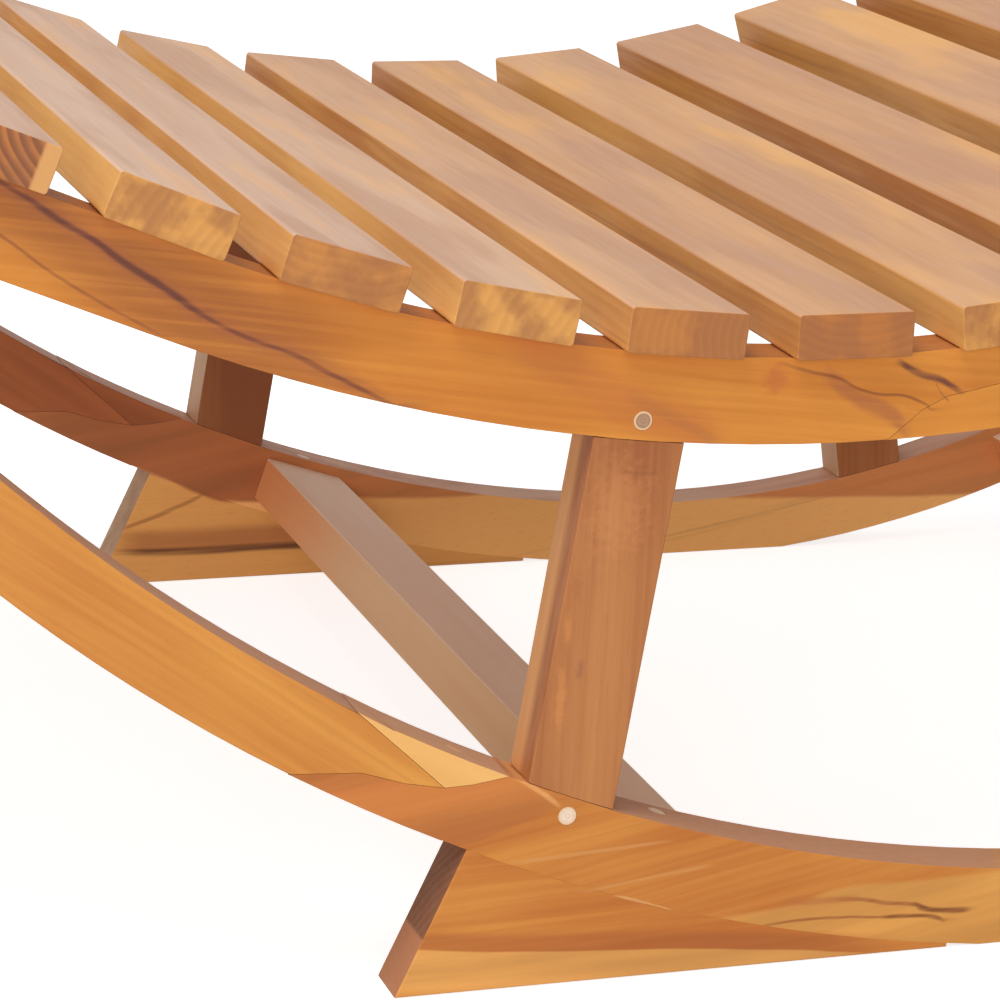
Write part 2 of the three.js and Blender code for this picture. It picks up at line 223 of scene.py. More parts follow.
def open_edges(mesh, name):
    """Sharp outer edges that no other board meets."""
    tree = None if is_slat(name) else side_tree(name)
    chosen = []
    for edge in mesh.edges:
        if len(edge.link_faces) != 2 or edge.calc_face_angle(0) < SHARP_ANGLE:
            continue
        if edge.calc_face_angle_signed(0) < 0:
            continue
        if tree is not None:
            if edge.calc_length() < SHORTEST_EASED:
                continue
            middle = (edge.verts[0].co + edge.verts[1].co) / 2
            probes = [middle] + [vertex.co.lerp(middle, END_PROBE) for vertex in edge.verts]
            if any(tree.find_nearest(point, JOINT_REACH)[0] is not None for point in probes):
                continue
        chosen.append(edge)
    return chosen


def close_joint(mesh, name):
    """The glue line under the rocker doesn't show, so a wedge's top is set on the rocker."""
    tree = side_tree(name)
    for vertex in mesh.verts:
        meeting = tree.find_nearest(vertex.co, JOINT_REACH)[0]
        if meeting is not None:
            vertex.co = meeting


def grain_axis(name, points):
    """Direction of a board's grain: along Y for what crosses, else the board's own chord."""
    if is_crossing(name):
        return Vector((0, 1, 0))
    if name.endswith("_post"):
        top = max(points, key=lambda point: point.z)
        low = min(points, key=lambda point: point.z)
        return (low - top).normalized()
    if name.endswith("_stop_wedge"):
        return WEDGE_GRAIN.normalized()
    left = min(points, key=lambda point: point.x)
    right = max(points, key=lambda point: point.x)
    chord = right - left
    chord.y = 0
    return chord.normalized()


def write_faces(mesh, name, values):
    """One number for each face of a mesh, as an attribute that a material reads."""
    mesh.attributes.new(name, "FLOAT", "FACE").data.foreach_set("value", values)


def write_points(mesh, name, values):
    """One vector for each point of a mesh, as an attribute that a material reads."""
    mesh.attributes.new(name, "FLOAT_VECTOR", "POINT").data.foreach_set("vector", values)


def write_grain(mesh, name):
    """Places from a board's middle, along the grain and across it, the same turned and moved for the grain's
    pattern, and marks on the end, top and head faces.
    """
    points = [vertex.co for vertex in mesh.vertices]
    axis = grain_axis(name, points)
    if is_crossing(name):
        across = max(mesh.polygons, key=lambda face: face.area * face.normal.z).normal.cross(axis)
    else:
        across = Vector((0, 1, 0))
    third = axis.cross(across)
    centre = sum(points, Vector()) / len(points)
    turn = Matrix.Rotation(math.radians(RING_TURNS.get(name, 180 * seeded(name, TURN_SALT))), 3, "X")
    shift = Vector([(seeded(name, salt) - middle) * reach for salt, middle, reach in GRAIN_SHIFTS])
    grain = []
    place = []
    for point in points:
        away = point - centre
        local = Vector((away.dot(axis), away.dot(across), away.dot(third)))
        place += list(local)
        grain += list(turn @ local + shift)
    write_points(mesh, "grain", grain)
    write_points(mesh, "place", place)
    normals = [face.normal.copy() for face in mesh.polygons]
    up, aim = (third, SLAT_TOP_AIM) if is_slat(name) else (Vector((0, 0, 1)), TOP_AIM)
    write_faces(mesh, "end_grain", [float(abs(normal.dot(axis)) > END_GRAIN_AIM) for normal in normals])
    write_faces(mesh, "top_face", [float(normal.dot(up) > aim) for normal in normals])
    write_faces(mesh, "head_face", [float(normal.x < -HEAD_AIM) for normal in normals])
    write_faces(mesh, "tone", [BOARD_TONES.get(name, seeded(name, TONE_SALT))] * len(normals))


def data_from(mesh, title):
    """A mesh for an object, from an edited one that is then freed."""
    data = bpy.data.meshes.new(title)
    mesh.to_mesh(data)
    mesh.free()
    return data


def stand_for(data, name, material):
    """Shades a mesh smooth between its creases and lets it take the place of a CAD node."""
    data.polygons.foreach_set("use_smooth", [True] * len(data.polygons))
    data.set_sharp_from_angle(angle=CREASE_ANGLE)
    data.materials.append(material)
    piece = bpy.data.objects.new(data.name, data)
    bpy.context.scene.collection.objects.link(piece)
    weighted = piece.modifiers.new("weighted normals", "WEIGHTED_NORMAL")
    weighted.keep_sharp = True
    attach(piece, "root")
    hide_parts(name)


def dress_board(name, material, slot):
    mesh = mesh_from(name)
    if name.endswith("_stop_wedge"):
        close_joint(mesh, name)
    width = SLAT_EASED_EDGE if is_slat(name) else EASED_EDGE
    bmesh.ops.bevel(
        mesh, geom=open_edges(mesh, name), offset=width, segments=EASED_STEPS, profile=ROUND_PROFILE,
        affect="EDGES", clamp_overlap=True,
    )
    data = data_from(mesh, name + "_board")
    write_grain(data, name)
    stand_for(data, name, material)


def dress_pin(name, material, slot):
    """A rounder pin on the CAD pin's axis, that fills its hole and has eased rims."""
    mesh = mesh_from(name)
    cap = max(mesh.faces, key=lambda face: len(face.verts))
    cap.normal_update()
    start = cap.calc_center_median()
    radius = (cap.verts[0].co - start).length + PIN_FIT
    axis = -cap.normal.copy()
    length = max((vertex.co - start).dot(axis) for vertex in mesh.verts)
    middle = start + axis * length / 2
    turn = axis.to_track_quat("Z", "Y").to_matrix().to_4x4()
    mesh.clear()
    bmesh.ops.create_cone(
        mesh, cap_ends=True, segments=PIN_SIDES, radius1=radius, radius2=radius, depth=length,
        matrix=Matrix.Translation(middle) @ turn,
    )
    rims = [edge for edge in mesh.edges if edge.calc_face_angle(0) > SHARP_ANGLE]
    bmesh.ops.bevel(
        mesh, geom=rims, offset=PIN_EASE, segments=EASED_STEPS, profile=ROUND_PROFILE, affect="EDGES",
    )
    data = data_from(mesh, name + "_round")
    reach = []
    for vertex in data.vertices:
        away = vertex.co - middle
        reach += list((away - axis * away.dot(axis)) / radius)
    write_points(data, "reach", reach)
    write_faces(data, "tone", [float("_top_" in name)] * len(data.polygons))
    stand_for(data, name, material)


# Materials


class Wood:
    """Short names for the nodes of one wood material."""

    def __init__(self, name):
        self.material = bpy.data.materials.new(name)
        self.material.use_nodes = True
        self.tree = self.material.node_tree
        self.tree.nodes.clear()

    def node(self, kind, **settings):
        made = self.tree.nodes.new(kind)
        for key, value in settings.items():
            setattr(made, key, value)
        return made

    def link(self, source, target):
        if isinstance(source, (int, float, tuple)):
            target.default_value = source
        else:
            self.tree.links.new(source, target)

    def attribute(self, name, output="Fac"):
        return self.node("ShaderNodeAttribute", attribute_name=name).outputs[output]

    def position(self):
        return self.node("ShaderNodeNewGeometry").outputs["Position"]

    def math(self, operation, first, second=0.0, third=0.0, clamp=False):
        made = self.node("ShaderNodeMath", operation=operation, use_clamp=clamp)
        for socket, value in zip(made.inputs, (first, second, third)):
            self.link(value, socket)
        return made.outputs[0]

    def vector(self, operation, first, second):
        made = self.node("ShaderNodeVectorMath", operation=operation)
        self.link(first, made.inputs[0])
        self.link(second, made.inputs[1])
        return made.outputs[0]

    def length(self, vector):
        made = self.node("ShaderNodeVectorMath", operation="LENGTH")
        self.link(vector, made.inputs[0])
        return made.outputs["Value"]

    def split(self, vector):
        made = self.node("ShaderNodeSeparateXYZ")
        self.link(vector, made.inputs[0])
        return made.outputs

    def noise(self, vector, scale, detail=2.0, output="Fac"):
        made = self.node("ShaderNodeTexNoise")
        self.link(vector, made.inputs["Vector"])
        made.inputs["Scale"].default_value = scale
        made.inputs["Detail"].default_value = detail
        return made.outputs[output]

    def stretched(self, vector, along, across, detail):
        """Noise drawn out along the grain, with so many lumps in a metre."""
        return self.noise(self.vector("MULTIPLY", vector, (along, across, across)), 1.0, detail)

    def ramp(self, factor, low, high, bottom=0.0, top=1.0):
        made = self.node("ShaderNodeMapRange", interpolation_type="SMOOTHSTEP")
        for socket, value in zip(made.inputs, (factor, low, high, bottom, top)):
            self.link(value, socket)
        return made.outputs[0]

    def mix(self, factor, first, second):
        made = self.node("ShaderNodeMix", data_type="RGBA")
        self.link(factor, made.inputs["Factor"])
        for value, socket in ((first, made.inputs[6]), (second, made.inputs[7])):
            self.link((*value, 1.0) if isinstance(value, tuple) else value, socket)
        return made.outputs[2]

    def finish(self, colour, roughness, height, strength):
        shader = self.node("ShaderNodeBsdfPrincipled")
        self.link(colour, shader.inputs["Base Color"])
        self.link(roughness, shader.inputs["Roughness"])
        shader.inputs["Specular IOR Level"].default_value = SPECULAR_LEVEL
        bump = self.node("ShaderNodeBump")
        bump.inputs["Strength"].default_value = strength
        bump.inputs["Distance"].default_value = RELIEF_DEPTH
        self.link(height, bump.inputs["Height"])
        self.link(bump.outputs["Normal"], shader.inputs["Normal"])
        output = self.node("ShaderNodeOutputMaterial")
        self.link(shader.outputs[0], output.inputs["Surface"])
        return self.material


def linear(red, green, blue):
    """A colour given as it looks on screen, 0 to 255, as the shader's own value."""
    values = []
    for channel in (red, green, blue):
        share = channel / 255
        values.append(share / 12.92 if share <= 0.04045 else ((share + 0.055) / 1.055) ** 2.4)
    return tuple(values)


def grain_field(wood):
    """Growth rings, long fibres, streaks and pores of a board, from its grain coordinates."""
    grain = wood.attribute("grain", "Vector")
    sway = wood.noise(wood.vector("MULTIPLY", grain, SWAY_LUMPS), 1.0, output="Color")
    sway = wood.vector("SUBTRACT", sway, (0.5, 0.5, 0.5))
    bent = wood.vector("ADD", grain, wood.vector("MULTIPLY", sway, (0.0, SWAY_REACH, SWAY_REACH)))
    off_pith = wood.vector("MULTIPLY", wood.vector("ADD", bent, PITH), (0.0, 1.0, 1.0))
    saw = wood.math("FRACT", wood.math("DIVIDE", wood.length(off_pith), RING_WIDTH))
    rings = wood.math("MULTIPLY", wood.ramp(saw, *RING_RISE), wood.ramp(saw, *RING_FALL, 1.0, 0.0))
    return {
        "bent": bent,
        "rings": rings,
        "fibres": wood.stretched(bent, *FIBRES),
        "streaks": wood.stretched(bent, *STREAKS),
        "veins": wood.stretched(bent, *VEINS),
        "pores": wood.stretched(bent, *PORES),
        "clouds": wood.stretched(grain, *CLOUDS),
    }


# What boards turn to where their tone is above 1 or below 0: heartwood, which on the far head boards is
# partly painted shade, and sapwood, which on the far foot and wedge is painted light that makes up for the
# slats' shade
HEARTWOOD_AND_SHADE = linear(104, 54, 34)
SAPWOOD_AND_PAINTED_LIGHT = linear(255, 192, 116)


def teak(name, light, dark, end, top, painted_top_share=0.5, marks=()):
    """A sanded teak: light and dark tones of the grain, the tone of its end grain, and a tone painted on its
    top faces for the light there: a painted sheen, or painted shade on the rail.
    """
    wood = Wood(name)
    field = grain_field(wood)
    soft = wood.math("ADD", wood.ramp(field["clouds"], *MIDDLE_RANGE, 0.0, CLOUD_SHARE),
                     wood.ramp(field["streaks"], *MIDDLE_RANGE, 0.0, STREAK_SHARE))
    fine = wood.math("ADD", wood.ramp(field["fibres"], *MIDDLE_RANGE, 0.0, FIBRE_SHARE),
                     wood.math("MULTIPLY", field["rings"], RING_SHARE))
    amount = wood.math("ADD", soft, fine)
    tone = wood.attribute("tone")
    centred = wood.math("SUBTRACT", wood.math("MAXIMUM", wood.math("MINIMUM", tone, 1.0), 0.0), 0.5)
    colour = wood.mix(wood.math("MULTIPLY_ADD", centred, TONE_SPREAD, amount, clamp=True), light, dark)
    # Far boards: a tone above 1 is partly painted shade, and a tone below 0 is painted light against the
    # slats' shade
    colour = wood.mix(wood.math("SUBTRACT", tone, 1.0, clamp=True), colour, HEARTWOOD_AND_SHADE)
    colour = wood.mix(wood.math("MULTIPLY", tone, -1.0, clamp=True), colour, SAPWOOD_AND_PAINTED_LIGHT)
    veined = wood.ramp(field["veins"], *VEIN_RANGE, 0.0, VEIN_SHARE)
    colour = wood.mix(veined, colour, end)
    pored = wood.ramp(field["pores"], *PORE_RANGE, 0.0, PORE_SHARE)
    colour = wood.mix(pored, colour, dark)
    # Painted light on the top faces: a sheen of the overhead light, and on the rail the slats' shade
    painted_top_amount = wood.math("MULTIPLY", wood.attribute("top_face"), painted_top_share)
    colour = wood.mix(painted_top_amount, colour, top)
    ringed = wood.math("MULTIPLY_ADD", field["rings"], END_RING_SHARE, END_SHARE)
    on_end = wood.math("MULTIPLY", wood.attribute("end_grain"), ringed, clamp=True)
    colour = wood.mix(on_end, colour, end)
    for mark in marks:
        colour = mark(wood, colour, field)
    roughness = wood.ramp(field["fibres"], *GLOSS_RANGE, *ROUGHNESS)
    height = wood.math("SUBTRACT", field["fibres"], pored)
    return wood.finish(colour, roughness, height, RELIEF_STRENGTH)


# Marks: streaks, bands and plugs that the photograph shows, placed in metres along X and Z

NEAR = -1
FAR = 1
NEAR_FACE = -317 * MM
NEAR_MIDDLE = -304 * MM

# How far a path sways with the grain, and the share of its length over which its ends fade
PATH_SWAY = 4.8 * MM
END_FADE = 0.12

# Half widths of a line's core and of its rim, as shares of its width
LINE_CORE = 0.15
LINE_RIM = 0.65

# A line is fainter where the fibres' noise is low: the noise's range, and the share at each end of it
RAGGED = (0.25, 0.6, 0.6, 1.0)

# A band's sharp edge, the shares of its depth over which it fades, and its darker grain
BAND_EDGE = 0.6 * MM
BAND_FADE = (0.7, 1.3)
BAND_GRAIN = (0.35, 0.65)
BAND_SHADE = 0.7

# A spot's ragged rim: lumps in a metre, their reach, and where the spot fades, as shares of its radius
RAG_LUMPS = 320.0
RAG_REACH = 1.2
SPOT_FADE = (0.7, 1.7)


def board_side(wood, side):
    """1 on the boards of one side of the lounger and 0 on the other's."""
    across = wood.split(wood.position())[1]
    return wood.math("GREATER_THAN", wood.math("MULTIPLY", across, float(side)), 0.0)


def above_path(wood, field, points):
    """How far a place lies above a path from left to right, and 1 within its length, faded at the ends."""
    place = wood.split(wood.position())
    left, right = points[0][0], points[-1][0]
    low = min(point[1] for point in points)
    high = max(point[1] for point in points)
    share = wood.math("DIVIDE", wood.math("SUBTRACT", place[0], left), right - left, clamp=True)
    curve = wood.node("ShaderNodeFloatCurve")
    line = curve.mapping.curves[0]
    shares = [((x - left) / (right - left), (z - low) / (high - low)) for x, z in points]
    line.points[0].location = shares[0]
    line.points[1].location = shares[-1]
    for inner in shares[1:-1]:
        line.points.new(*inner)
    curve.mapping.update()
    wood.link(share, curve.inputs["Value"])
    path = wood.math("MULTIPLY_ADD", curve.outputs[0], high - low, low)
    sway = wood.math("MULTIPLY", wood.math("SUBTRACT", field["streaks"], 0.5), PATH_SWAY)
    height = wood.math("ADD", wood.math("SUBTRACT", place[2], path), sway)
    fade = END_FADE * (right - left)
    within = wood.math("MULTIPLY", wood.ramp(place[0], left - fade, left + fade),
                       wood.ramp(place[0], right - fade, right + fade, 1.0, 0.0))
    return height, within


def streak(points, width, colour, share, side=NEAR):
    """A soft line of another tone along a path."""
    def paint(wood, base, field):
        height, within = above_path(wood, field, points)
        line = wood.ramp(wood.math("ABSOLUTE", height), LINE_CORE * width, LINE_RIM * width, 1.0, 0.0)
        ragged = wood.ramp(field["fibres"], *RAGGED)
        amount = wood.math("MULTIPLY", wood.math("MULTIPLY", line, within), ragged)
        amount = wood.math("MULTIPLY", amount, wood.math("MULTIPLY", board_side(wood, side), share))
        return wood.mix(amount, base, colour)
    return paint


def shaded(colour, amount):
    return tuple(channel * amount for channel in colour)


def band(points, depth, colour, share, side=NEAR, edge=BAND_EDGE):
    """A zone of another tone under a path, or above it where the depth is negative."""
    def paint(wood, base, field):
        height, within = above_path(wood, field, points)
        under = wood.math("MULTIPLY", height, -math.copysign(1.0, depth))
        full, clear = [part * abs(depth) for part in BAND_FADE]
        zone = wood.math("MULTIPLY", wood.ramp(under, -edge, edge), wood.ramp(under, full, clear, 1.0, 0.0))
        amount = wood.math("MULTIPLY", wood.math("MULTIPLY", zone, within),
                           wood.math("MULTIPLY", board_side(wood, side), share))
        grained = wood.mix(wood.ramp(field["streaks"], *BAND_GRAIN), colour, shaded(colour, BAND_SHADE))
        return wood.mix(amount, base, grained)
    return paint


def spot(x, y, z, radius, colour, share, stretch=(1.0, 1.0, 1.0)):
    """A round or stretched patch of another tone about a point, with a ragged rim."""
    def paint(wood, base, field):
        position = wood.position()
        away = wood.length(wood.vector("MULTIPLY", wood.vector("SUBTRACT", position, (x, y, z)), stretch))
        ragged = wood.math("MULTIPLY_ADD", wood.noise(position, RAG_LUMPS), RAG_REACH * radius, away)
        full, clear = [part * radius for part in SPOT_FADE]
        amount = wood.ramp(ragged, full, clear, share, 0.0)
        return wood.mix(amount, base, colour)
    return paint


def face_tint(attribute, side, colour, share, shadow):
    """Another skin on the faces that an attribute marks, on one side of the lounger."""
    def paint(wood, base, field):
        skin = wood.mix(wood.ramp(field["streaks"], *MIDDLE_RANGE), colour, shadow)
        marked = wood.math("MULTIPLY", wood.attribute(attribute), share)
        return wood.mix(wood.math("MULTIPLY", marked, board_side(wood, side)), base, skin)
    return paint


# The slats' tops grow warmer from the first X to the second
WARMING = (-0.25, 0.05)
# Pale tops at the head end and at the foot end: a painted sheen of the overhead light
HEAD_SHEEN_TOPS = (linear(232, 198, 174), linear(206, 168, 144))
FOOT_SHEEN_TOPS = (linear(230, 180, 134), linear(196, 142, 96))
GOLDEN_TOPS = (linear(236, 186, 140), linear(240, 180, 106))
CLOUDED_TOP = linear(190, 144, 116)
DARK_TOP = linear(186, 132, 96)

# Parts of the streaks and of the fibres in the soft grain of a top
SOFT_PARTS = (0.9, 0.1)

# Where the clouds' noise darkens a top and where it gilds it: the noise's range, and the share at each end
DARK_CLOUDS = (0.5, 0.62, 0.0, 0.62)
GOLDEN_CLOUDS = (0.36, 0.48, 0.7, 0.0)

# How much a slat's own tone darkens its top, and how much of the top's skin, with its painted sheen, shows
TOP_TONE_SHARE = 0.2
TOP_SHARE = 0.88


def slat_top(wood, colour, field):
    """The tops of the slats carry a painted sheen, pale and pinker towards the head and warmer to the foot,
    with the wood's soft clouds.
    """
    warmth = wood.ramp(wood.split(wood.position())[0], *WARMING)
    fine = wood.math("MULTIPLY", field["fibres"], SOFT_PARTS[1])
    soft = wood.math("MULTIPLY_ADD", field["streaks"], SOFT_PARTS[0], fine)
    pale = wood.mix(warmth, wood.mix(soft, *HEAD_SHEEN_TOPS), wood.mix(soft, *FOOT_SHEEN_TOPS))
    clouds = wood.stretched(field["bent"], *SLAT_CLOUDS)
    pale = wood.mix(wood.ramp(clouds, *DARK_CLOUDS), pale, CLOUDED_TOP)
    pale = wood.mix(wood.ramp(clouds, *GOLDEN_CLOUDS), pale, wood.mix(warmth, *GOLDEN_TOPS))
    darkness = wood.math("MULTIPLY", wood.attribute("tone"), TOP_TONE_SHARE, clamp=True)
    pale = wood.mix(darkness, pale, DARK_TOP)
    return wood.mix(wood.math("MULTIPLY", wood.attribute("top_face"), TOP_SHARE), colour, pale)


# Tones between which a slat's end turns to heartwood, and how bold its rings are at both
HEARTWOOD_TONES = (1.0, 1.3)
RING_BOLDNESS = (0.08, 0.95)

# A strip of sapwood along one side of such an end, from the slat's middle
SAPWOOD_STRIP = (-20 * MM, -18 * MM)

# Blotches of a slat's end: lumps in a metre and detail, then the noise's range and the share at each end
BLOTCHES = (62.0, 3.0)
BLOTCHED = (0.38, 0.6, 0.0, 0.65)

# Tones of a slat's end
GOLDEN_END = linear(218, 156, 82)
BROWN_END = linear(182, 112, 56)
BLOTCHED_END = linear(156, 98, 60)
RINGED_END = linear(128, 76, 50)
SAPWOOD_END = linear(216, 158, 96)
SLAT_END_SHARE = 0.9


def slat_end(wood, colour, field):
    """Slat ends range from golden to brown, with blotches and soft rings, which are bold in heartwood."""
    tone = wood.attribute("tone")
    tan = wood.mix(wood.ramp(tone, 0.0, 1.0), GOLDEN_END, BROWN_END)
    blotches = wood.noise(wood.attribute("grain", "Vector"), *BLOTCHES)
    tan = wood.mix(wood.ramp(blotches, *BLOTCHED), tan, BLOTCHED_END)
    bold = wood.ramp(tone, *HEARTWOOD_TONES, *RING_BOLDNESS)
    ringed = wood.mix(wood.math("MULTIPLY", field["rings"], bold), tan, RINGED_END)
    across = wood.split(wood.attribute("place", "Vector"))[1]
    beside = wood.ramp(across, *SAPWOOD_STRIP, 1.0, 0.0)
    strip = wood.math("MULTIPLY", wood.ramp(tone, *HEARTWOOD_TONES), beside)
    ringed = wood.mix(strip, ringed, SAPWOOD_END)
    return wood.mix(wood.math("MULTIPLY", wood.attribute("end_grain"), SLAT_END_SHARE), colour, ringed)


# Heights at which the near wedge's end turns from pale to dark, and at which it ends, and its tones
WEDGE_HEART = (25 * MM, 27 * MM)
WEDGE_END_TOP = 66 * MM
WEDGE_RING_SHARE = 0.4
WEDGE_PALE = linear(180, 118, 78)
WEDGE_DARKS = (linear(138, 86, 54), linear(98, 62, 38))


def wedge_end(wood, colour, field):
    """A near wedge's end: heartwood with rings, over a paler lower third."""
    height = wood.split(wood.position())[2]
    heart = wood.mix(wood.math("MULTIPLY", field["rings"], WEDGE_RING_SHARE), *WEDGE_DARKS)
    skin = wood.mix(wood.ramp(height, *WEDGE_HEART), WEDGE_PALE, heart)
    below = wood.math("LESS_THAN", height, WEDGE_END_TOP)
    marked = wood.math("MULTIPLY", wood.attribute("head_face"), below)
    return wood.mix(wood.math("MULTIPLY", marked, board_side(wood, NEAR)), colour, skin)


# Distance of the sides' inner faces from the middle, and the stretch over which the stretchers turn redder
INNER_FACE = 290.5 * MM
REDDENING = (0.06, 0.24)
# Painted light on the stretchers: a sheen on their tops, and pale tones against the seat's shade
STRETCHER_SHEEN_TOPS = (linear(255, 234, 212), linear(246, 208, 176))
STRETCHER_SIDES = (linear(255, 216, 170), linear(240, 186, 136))
STRETCHER_RED = linear(248, 168, 110)
STRETCHER_SHARE = 0.9


def stretcher_skin(wood, colour, field):
    """The stretchers, between the sides, are painted paler and greyer than the posts, as painted light
    against the seat's shade and a painted sheen on their tops, and redder at the far end.
    """
    across = wood.split(wood.position())[1]
    top = wood.mix(field["streaks"], *STRETCHER_SHEEN_TOPS)
    side = wood.mix(field["streaks"], *STRETCHER_SIDES)
    side = wood.mix(wood.ramp(across, *REDDENING), side, STRETCHER_RED)
    pale = wood.mix(wood.attribute("top_face"), side, top)
    between = wood.math("LESS_THAN", wood.math("ABSOLUTE", across), INNER_FACE)
    return wood.mix(wood.math("MULTIPLY", between, STRETCHER_SHARE), colour, pale)


# The near posts turn to sapwood between these two Y on their head face
SAPWOOD_EDGE = (-309 * MM, -301 * MM)
SAPWOOD_EDGE_SHARE = 0.75
SAPWOOD_EDGE_TONE = linear(228, 166, 104)


def post_edge(wood, colour, field):
    """A strip of sapwood on the near posts' head face, along its inner edge."""
    across = wood.split(wood.position())[1]
    strip = wood.math("MULTIPLY", wood.ramp(across, *SAPWOOD_EDGE), wood.attribute("head_face"))
    strip = wood.math("MULTIPLY", strip, wood.math("MULTIPLY", board_side(wood, NEAR), SAPWOOD_EDGE_SHARE))
    return wood.mix(strip, colour, SAPWOOD_EDGE_TONE)


# Tones of the marks
PURPLE = linear(138, 82, 66)
BROWN = linear(160, 98, 58)
PALE = linear(236, 190, 130)
# Greyish mauve: a painted sheen of the overhead light on the boards' top faces
SHEEN_MAUVE = linear(196, 146, 114)

# Edges between the tones of the near rocker and of the far one, from left to right, as X and Z
WEDGE_EDGE = (
    (-0.178, 0.0242), (-0.1556, 0.022), (-0.1239, 0.0182), (-0.0873, 0.0153), (-0.022, 0.0106),
    (0.058, 0.0013),
)
GOLD_EDGE = (
    (-0.04, 0.018), (-0.0171, 0.0234), (0.0215, 0.0276), (0.048, 0.0338), (0.0843, 0.034), (0.1211, 0.0352),
    (0.17, 0.045),
)
GOLD_LINES = (
    (
        (0.0037, 0.0175), (0.022, 0.0199), (0.0408, 0.0197), (0.0656, 0.0175), (0.0857, 0.0161),
        (0.0947, 0.0135),
    ),
    (
        (0.0411, 0.0285), (0.0552, 0.027), (0.0651, 0.0247), (0.0803, 0.0224), (0.0904, 0.0186),
        (0.1063, 0.0175),
    ),
    ((0.0184, 0.0295), (0.0354, 0.0283), (0.0509, 0.0281)),
)
HEART_EDGE = ((-0.24, 0.125), (-0.17, 0.068), (-0.1335, 0.0684), (-0.1131, 0.0749), (-0.088, 0.084))
FAR_RUN = (
    (-0.25, 0.115), (-0.1299, 0.0649), (-0.1043, 0.0533), (-0.0836, 0.0466), (-0.0178, 0.0455),
    (0.0499, 0.0424), (0.1174, 0.0433), (0.1939, 0.0351), (0.2745, 0.0304), (0.4091, 0.0288), (0.55, 0.07),
)
FAR_HEAD_RUN = ((-0.25, 0.1), (-0.1299, 0.0649), (-0.1043, 0.0533), (-0.0836, 0.0466), (-0.045, 0.046))
FAR_LOW_RUN = ((-0.1469, 0.0193), (-0.1087, 0.0181), (-0.0632, 0.0183), (-0.0292, 0.0165))

# The dark vein along the near rail
RAIL_VEIN = (
    (-0.365, 0.3805), (-0.3332, 0.3606), (-0.3226, 0.354), (-0.3067, 0.3428), (-0.2983, 0.3374),
    (-0.2852, 0.3274), (-0.2687, 0.3171), (-0.2522, 0.3056), (-0.2355, 0.2961), (-0.213, 0.2864),
    (-0.196, 0.2779), (-0.17, 0.2635),
)

RAIL_MARKS = (
    streak(((-0.42, 0.41), (-0.3332, 0.365), (-0.26, 0.31), (-0.2, 0.28)), 62 * MM,
           linear(154, 88, 42), 0.8),
    streak(RAIL_VEIN, 11 * MM, linear(158, 90, 52), 0.55),
    streak(RAIL_VEIN, 2.6 * MM, linear(112, 60, 44), 0.85),
    streak(RAIL_VEIN[2:8], 4.4 * MM, linear(96, 52, 40), 0.8),
    streak(((-0.3532, 0.351), (-0.3332, 0.3384), (-0.3077, 0.3204), (-0.2882, 0.3088), (-0.268, 0.2965)),
           1.8 * MM, linear(140, 78, 44), 0.7),
    streak(((-0.12, 0.291), (-0.0925, 0.274), (-0.0633, 0.2577), (-0.0285, 0.2446)), 24 * MM,
           linear(192, 112, 52), 0.7),
    streak(((0.0215, 0.269), (0.0298, 0.2622), (0.0366, 0.2573), (0.047, 0.2529), (0.0596, 0.2435)),
           10 * MM, linear(172, 100, 56), 0.8),
    streak(((0.0005, 0.2745), (0.0145, 0.2703), (0.0245, 0.268), (0.0381, 0.2615), (0.0466, 0.2591),
            (0.0565, 0.2584), (0.0635, 0.256), (0.071, 0.2515)), 1.8 * MM, linear(130, 70, 36), 0.7),
    streak(((0.0545, 0.273), (0.0651, 0.2675), (0.0736, 0.2652), (0.0797, 0.2618), (0.0845, 0.259)),
           3.6 * MM, linear(98, 52, 44), 0.9),
    streak(((0.0715, 0.265), (0.0748, 0.2591), (0.0788, 0.255)), 1.4 * MM, BROWN, 0.8),
    streak(((-0.0676, 0.2628), (-0.0474, 0.253), (-0.0274, 0.2415)), 7 * MM, BROWN, 0.3),
    spot(-0.0025, NEAR_FACE, 0.268, 7 * MM, linear(184, 98, 50), 0.6, stretch=(1.0, 1.0, 0.8)),
)

ROCKER_MARKS = (
    streak(((-0.1105, 0.0965), (-0.1, 0.09), (-0.091, 0.0838)), 3 * MM, linear(232, 166, 98), 0.8),
    streak(((-0.1086, 0.0578), (-0.0803, 0.0602), (-0.0419, 0.0625)), 2 * MM, PALE, 0.2),
    streak(((-0.0765, 0.0421), (-0.0473, 0.0458), (-0.0211, 0.0488)), 2 * MM, PALE, 0.2),
    streak(((-0.0627, 0.0389), (-0.05, 0.0346), (-0.0372, 0.0301)), 0.7 * MM, PALE, 0.5),
    band(WEDGE_EDGE, 22 * MM, linear(234, 170, 92), 0.8),
    band(WEDGE_EDGE, -8 * MM, linear(178, 98, 48), 0.6),
    band(FAR_RUN, -90 * MM, linear(212, 126, 74), 0.8, side=FAR, edge=1.5 * MM),
    band(FAR_HEAD_RUN, -60 * MM, linear(160, 84, 48), 0.62, side=FAR, edge=1.5 * MM),
    band(FAR_LOW_RUN, -13 * MM, linear(176, 92, 54), 0.6, side=FAR),
    streak(FAR_LOW_RUN, 5 * MM, linear(96, 52, 32), 0.9, side=FAR),
    streak(((-0.148, 0.034), (-0.128, 0.0405), (-0.108, 0.048), (-0.1, 0.052)), 3 * MM,
           linear(150, 84, 44), 0.6, side=FAR),
    face_tint("head_face", FAR, linear(214, 174, 136), 0.9, linear(186, 142, 106)),
    # Paler far rocker tops: a painted sheen, the glare of the light on them
    face_tint("top_face", FAR, linear(216, 176, 150), 0.7, linear(190, 142, 114)),
    wedge_end,
)

